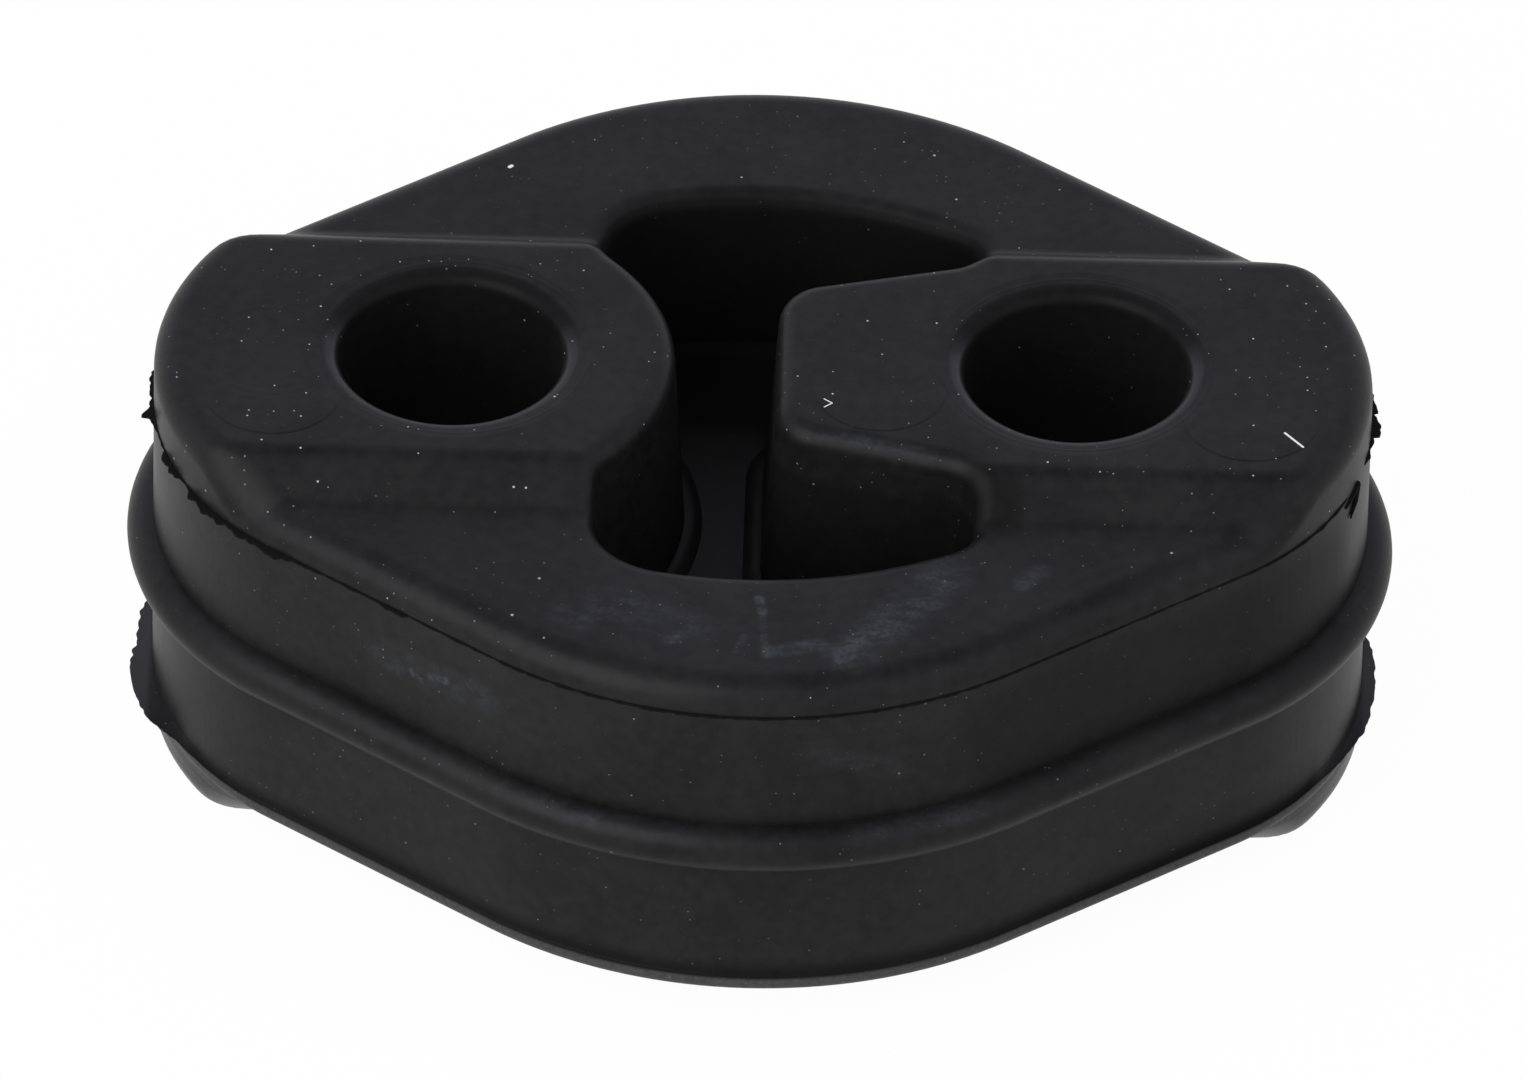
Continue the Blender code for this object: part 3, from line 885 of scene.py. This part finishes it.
def painted_shade_share(rubber):
    """Share of painted shade: above the lower joint, on the web, at the right, on the nose, the back rim and
    the bores' back lips.
    """
    # Painted shade on the web between the lobe and the nose.
    web = rubber.ramp(rubber.in_plan(0.0, 0.0), 20.0, 21.0, 0.4, 0.0)
    web = web * rubber.ramp(abs(rubber.z - MIDDLE), 1.2, 1.6, 1.0, 0.0)
    # Painted shade on the right of the upper wall.
    right = rubber.ramp(rubber.from_line(*PAINTED_SHADE_RIGHT), 2.0, 5.0, 0.4, 0.0)
    # Painted shade on the nose's right corner, in place of its highlight.
    corner = rubber.ramp(rubber.in_plan(11.4, -10.2), 1.2, 2.6, 0.5, 0.0)
    # Painted shade on the back of the bores' lips, in place of their highlight.
    back_lips = at_lips(rubber, 0.4, 0.7, 0.6) * rubber.ramp(rubber.y, *LIP_FADE)
    walls = painted_joint_shade(rubber) + web + right + corner
    return walls + painted_nose_shade(rubber) + painted_back_rim_shade(rubber) + back_lips


# %% The rubber finish
DARK_RUBBER = (0.0065, 0.0065, 0.007, 1)
GREY_RUBBER = (0.013, 0.013, 0.0135, 1)
# Colour of the rub marks and of the painted highlights.
RUB_AND_HIGHLIGHT_COLOUR = (0.036, 0.038, 0.045, 1)
# Paler grey, painted light on the lip under the lower joint, also used at the two ends.
PALE_LOWER_COLOUR = (0.06, 0.06, 0.061, 1)
DUST_COLOUR = (0.5, 0.5, 0.51, 1)
MARK_COLOUR = (0.8, 0.8, 0.8, 1)
# Painted shade: the dark colour of the dull shader.
PAINTED_SHADE_COLOUR = (0.004, 0.004, 0.004, 1)
DARK_TEAR = (0.002, 0.002, 0.002, 1)
GREY_TEAR = (0.008, 0.008, 0.008, 1)


def rubber_finish():
    """Black rubber with its marks and painted highlights, and with painted shade mixed in as a dark, dull
    shader.
    """
    rubber = Rubber("black_rubber")
    cloud = rubber.noise(rubber.place, 6.0, 3.0)
    mottle = rubber.noise(rubber.place, 0.7, 4.0)
    grain = rubber.noise(rubber.place, 0.22, 2.0)
    crowd = rubber.ramp(rubber.noise(rubber.place, 5.0), 0.35, 0.65, 0.3, 1.0)
    specks = dust(rubber, 0.5, 0.075, crowd * 0.95) + dust(rubber, 1.6, 0.11, 0.4)
    specks = specks * rubber.ramp(rubber.z, RING_TOP - 3.0, RING_TOP - 1.0, 0.3, 1.0)
    white = total([rubber.mark(*mark) for mark in WHITE_MARKS])
    # Painted highlight: a clear coat on the front of the bores' lips.
    front_lip_sheen = at_lips(rubber, 0.3, 0.5, 0.22) * rubber.ramp(rubber.y, *LIP_FADE, 1.0, 0.0)
    shade = rubber.ramp(cloud + mottle, 0.6, 1.4)
    colour = rubber.mix(shade, DARK_RUBBER, GREY_RUBBER)
    colour = rubber.mix(rubs_and_highlights(rubber, grain), colour, RUB_AND_HIGHLIGHT_COLOUR)
    # Painted sheen: a clear coat on the underside, below the lower joint.
    under_sheen = rubber.ramp(rubber.z, JOINT - 1.4, JOINT - 1.1, 0.45, 0.0)
    # Painted light: the rolled lip under the lower joint is painted paler, a painted reflection of the
    # bright floor. The two ends below 4.5 mm get the same paler grey.
    painted_light_lip = rubber.ramp(rubber.z, JOINT - 0.3, JOINT - 0.05, 1.0, 0.0)
    painted_light_lip = painted_light_lip * rubber.ramp(rubber.z, JOINT - 1.3, JOINT - 1.1)
    film = rubber.ramp(abs(rubber.x), 31.1, 31.5, 0.0, 0.4) * rubber.ramp(rubber.z, 4.0, 4.5, 1.0, 0.0)
    colour = rubber.mix(painted_light_lip * (grain + 0.3) + film, colour, PALE_LOWER_COLOUR)
    colour = rubber.mix(specks, colour, DUST_COLOUR)
    height = grain * GRAIN_HEIGHT + mould_marks(rubber)
    rubber.shader_values(
        Base_Color=rubber.mix(white, colour, MARK_COLOUR),
        Roughness=0.34 + cloud * 0.1,
        Specular_IOR_Level=0.12,
        Coat_Weight=front_lip_sheen + under_sheen,
        Coat_Roughness=0.25,
        Normal=rubber.node("ShaderNodeBump", {}, {"Height": height, "Distance": MM, "Strength": 1.0}),
    )
    # Painted shade: a darker, duller shader, mixed in by the painted shade mask.
    dull = {"Base Color": PAINTED_SHADE_COLOUR, "Roughness": 0.8, "Specular IOR Level": 0.05}
    dull = rubber.node("ShaderNodeBsdfPrincipled", {}, dull)
    rubber.show(rubber.node("ShaderNodeMixShader", {}, {0: painted_shade_share(rubber), 1: rubber.whole(), 2: dull}))
    return rubber.material


def torn_finish():
    """Torn rubber is matt and stays dark."""
    rubber = Rubber("torn_rubber")
    grain = rubber.noise(rubber.place, 0.15, 2.0)
    rubber.shader_values(
        Base_Color=rubber.mix(grain, DARK_TEAR, GREY_TEAR),
        Roughness=0.8,
        Specular_IOR_Level=0.06,
    )
    return rubber.material


# %% Finish the pieces
black_rubber = rubber_finish()
block.data.materials.append(black_rubber)
torn_rubber = torn_finish()
flash("upper_flash", upper_flash_profile(), torn_rubber)
torn_curl(torn_rubber)
flash("lower_flash", lower_flash_profile(), black_rubber)
print("nodes in the rubber finish:", len(black_rubber.node_tree.nodes))

# %% [markdown]
# ## Studio
# The block lies on a pale floor under soft light. The camera sees the floor and the world
# as white. Reflections see a world that grows darker upwards and a dimmer floor, which
# gives the walls and the tops their different greys. A plain world and two soft lamps
# light everything else.

# %% Floor
WHITE = (1.0, 1.0, 1.0, 1.0)
FLOOR_PAINT = (0.9, 0.9, 0.9, 1)
FLOOR_HEIGHT = -0.01 * MM
FLOOR_HALF_WIDTH = 6.0
SEEN_WHITE = 0.97
REFLECTED_WHITE = 0.55


def floor_finish():
    """Matt paint that glows white for the camera, and less for reflections."""
    finish = Finish("pale_floor")
    finish.shader_values(Base_Color=FLOOR_PAINT, Roughness=0.9, Specular_IOR_Level=0.0)
    seen, glossy, through = finish.light_path()
    share = (seen + through) * SEEN_WHITE + glossy * REFLECTED_WHITE
    glow = finish.node("ShaderNodeEmission", {}, {"Color": WHITE, "Strength": 1.0})
    finish.show(finish.node("ShaderNodeMixShader", {}, {0: share, 1: finish.whole(), 2: glow}))
    return finish.material


def floor():
    """One wide square just under the block."""
    bm = bmesh.new()
    height = Matrix.Translation((0, 0, FLOOR_HEIGHT))
    bmesh.ops.create_grid(bm, x_segments=1, y_segments=1, size=FLOOR_HALF_WIDTH, matrix=height)
    mesh = bpy.data.meshes.new("floor")
    bm.to_mesh(mesh)
    bm.free()
    mesh.materials.append(floor_finish())
    piece = bpy.data.objects.new("floor", mesh)
    bpy.context.scene.collection.objects.link(piece)


floor()

# %% World
# Colours that reflections see low down, higher up and straight above.
SIDE_SKY = (0.86, 0.865, 1.0, 1.0)
HIGH_SKY = (0.5, 0.505, 0.58, 1.0)
TOP_SKY = (0.15, 0.15, 0.18, 1.0)
WORLD_LIGHT = 0.6


class Sky(Finish):
    """The world, made with the same method as a finish."""

    def __init__(self):
        world = bpy.data.worlds.new("studio")
        bpy.context.scene.world = world
        world.use_nodes = True
        self.tree = world.node_tree
        self.shader = self.tree.nodes["Background"]


sky = Sky()
way = sky.node("ShaderNodeTexCoord", output="Generated")
up = sky.node("ShaderNodeSeparateXYZ", {}, {0: way}, "Z")
seen, glossy, through = sky.light_path()
above = sky.mix(sky.ramp(up, 0.0, 0.35), WHITE, SIDE_SKY)
above = sky.mix(sky.ramp(up, 0.7, 0.9), above, HIGH_SKY)
above = sky.mix(sky.ramp(up, 0.94, 0.99), above, TOP_SKY)
strength = sky.ramp(seen + glossy + through, 0.0, 1.0, WORLD_LIGHT, 1.0)
sky.shader_values(Color=sky.mix(glossy, WHITE, above), Strength=strength)

# %% Lamps
LAMP_SIZE = 1.5


def soft_lamp(name, place, power):
    """A square soft lamp that faces the block. place is in metres and power in watts."""
    lamp = bpy.data.lights.new(name, "AREA")
    lamp.size = LAMP_SIZE
    lamp.energy = power
    piece = bpy.data.objects.new(name, lamp)
    piece.location = place
    piece.rotation_euler = (-Vector(place)).to_track_quat("-Z", "Y").to_euler()
    bpy.context.scene.collection.objects.link(piece)


soft_lamp("left_lamp", (-1.0, -0.95, 0.95), 21.0)
soft_lamp("right_lamp", (1.05, -0.8, 0.9), 4.0)
bpy.context.scene.view_settings.view_transform = "Standard"
